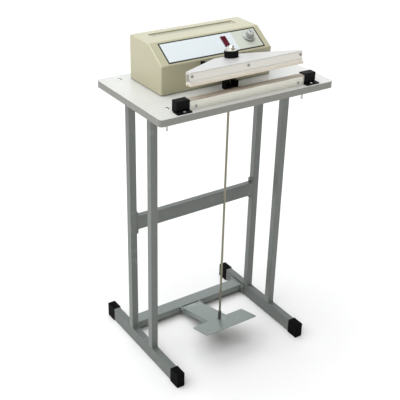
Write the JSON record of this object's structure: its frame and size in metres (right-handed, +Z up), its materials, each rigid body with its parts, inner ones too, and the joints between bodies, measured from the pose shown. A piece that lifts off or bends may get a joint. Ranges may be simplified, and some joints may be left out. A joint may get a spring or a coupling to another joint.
{
  "type": "foot pedal sealer",
  "caption": "Foot operated heat sealer: table on a tube stand, electrical housing, hinged sealing jaw, and a pull rod to a low pedal.",
  "frame": {"origin": "on the floor, under the middle of the whole object's box", "axes": "+Z up, +Y away from the user towards the back of the housing, +X to the user's right"},
  "size_m": [0.52, 0.396, 0.9026],
  "materials": {
    "frame_paint": "semi-gloss grey enamel",
    "pedal_paint": "semi-gloss grey enamel, lightly rubbed",
    "cap_plastic": "matt black moulding",
    "board_face": "white melamine face",
    "edge_band": "satin grey edging",
    "bolt_steel": "zinc plated",
    "aluminium_bar": "clear anodised",
    "backing": "glass cloth",
    "heating_wire": "bright rolled strip",
    "ptfe": "tan coated cloth",
    "brass": "plain",
    "cover_plastic": "matt black moulding",
    "holder_plastic": "satin cream moulding",
    "silicone": "satin silicone rubber",
    "arm_steel": "black paint",
    "knob_plastic": "black moulding",
    "chrome_parts": "polished",
    "rod_zinc": "yellow zinc plated",
    "dark_steel": "blackened",
    "housing_paint": "cream stove enamel",
    "base_zinc": "zinc plated sheet",
    "foot_rubber": "black rubber",
    "label_face": "satin printed sheet",
    "switch_black": "black moulding",
    "switch_red": "clear red lens",
    "dial_grey": "grey moulding",
    "board_green": "circuit board with parts",
    "core_iron": "laminated core with coil",
    "spring_steel": "spring wire"
  },
  "bodies": {
    "root": {"left_foot_rail": "frame_paint", "right_foot_rail": "frame_paint", "rail_end_caps": "cap_plastic", "left_front_post": "frame_paint", "left_rear_post": "frame_paint", "right_front_post": "frame_paint", "right_rear_post": "frame_paint", "left_top_rail": "frame_paint", "right_top_rail": "frame_paint", "mid_crossbar": "frame_paint", "lower_crossbar": "frame_paint", "crossbar_bolts": "bolt_steel", "table_top": "board_face", "table_edge_band": "edge_band", "table_bolts": "bolt_steel", "table_washers": "bolt_steel", "table_nuts": "bolt_steel", "lower_bar": "aluminium_bar", "backing_strip": "backing", "heating_strip": "heating_wire", "ptfe_cloth": "ptfe", "heater_terminals": "brass", "left_end_cover": "cover_plastic", "right_end_cover": "cover_plastic", "lower_jaw_screws": "bolt_steel", "rod_guide_block": "cover_plastic", "pedal_hinge_lugs": "frame_paint", "pedal_hinge_pin": "bolt_steel", "housing_cover": "housing_paint", "housing_base": "base_zinc", "housing_feet": "foot_rubber", "housing_screws": "bolt_steel", "label_plate": "label_face", "switch_body": "switch_black", "timer_control": "bolt_steel", "timer_board": "board_green", "transformer": "core_iron", "microswitch": "cover_plastic", "cable_gland": "cover_plastic", "pivot_shaft": "bolt_steel", "pivot_brackets": "base_zinc", "return_springs": "spring_steel"},
    "jaw_arm": {"upper_bar": "aluminium_bar", "jaw_top_plate": "aluminium_bar", "strip_holder": "holder_plastic", "silicone_strip": "silicone", "jaw_screws": "bolt_steel", "left_arm": "arm_steel", "right_arm": "arm_steel", "knob_washer": "chrome_parts"},
    "knob": {"pressure_knob": "knob_plastic"},
    "rod": {"dome_nut": "chrome_parts", "pull_rod": "rod_zinc", "rod_coupling": "dark_steel", "rod_stud": "rod_zinc", "rod_end_nut": "bolt_steel"},
    "pedal": {"pedal_plate": "pedal_paint"},
    "rocker": {"switch_rocker": "switch_red"},
    "dial": {"timer_knob": "dial_grey", "timer_shaft": "bolt_steel"}
  },
  "joints": [
    {"name": "jaw_hinge", "type": "hinge", "parent": "root", "child": "jaw_arm", "pos_m": [0, 0.072, 0.83], "axis": [1, 0, 0], "range_deg": [0, 7.66], "stiffness_Nm_per_rad": 12, "springref_deg": -21.77, "deforming": ["return_springs"]},
    {"name": "pedal_hinge", "type": "hinge", "parent": "root", "child": "pedal", "pos_m": [0, 0.067, 0.024], "axis": [1, 0, 0], "range_deg": [0, 8]},
    {"name": "rod_hinge", "type": "hinge", "parent": "jaw_arm", "child": "rod", "pos_m": [0, -0.07977, 0.88686], "axis": [1, 0, 0], "range_deg": [-7.52, 0]},
    {"name": "knob_turn", "type": "hinge", "parent": "jaw_arm", "child": "knob", "pos_m": [0, -0.08268, 0.86523], "axis": [0, 0.1333, 0.9911], "range_deg": [-180, 180]},
    {"name": "switch_rock", "type": "hinge", "parent": "root", "child": "rocker", "pos_m": [0.028, -0.01504, 0.88092], "axis": [1, 0, 0], "range_deg": [-16, 0]},
    {"name": "timer_turn", "type": "hinge", "parent": "root", "child": "dial", "pos_m": [0.101, -0.0142, 0.88146], "axis": [0, -0.5479, 0.8365], "range_deg": [-150, 150]}
  ],
  "couplings": [
    {"joint": "pedal_hinge", "follows": "jaw_hinge", "ratio": 1.0406},
    {"joint": "rod_hinge", "follows": "jaw_hinge", "ratio": -0.9804}
  ]
}
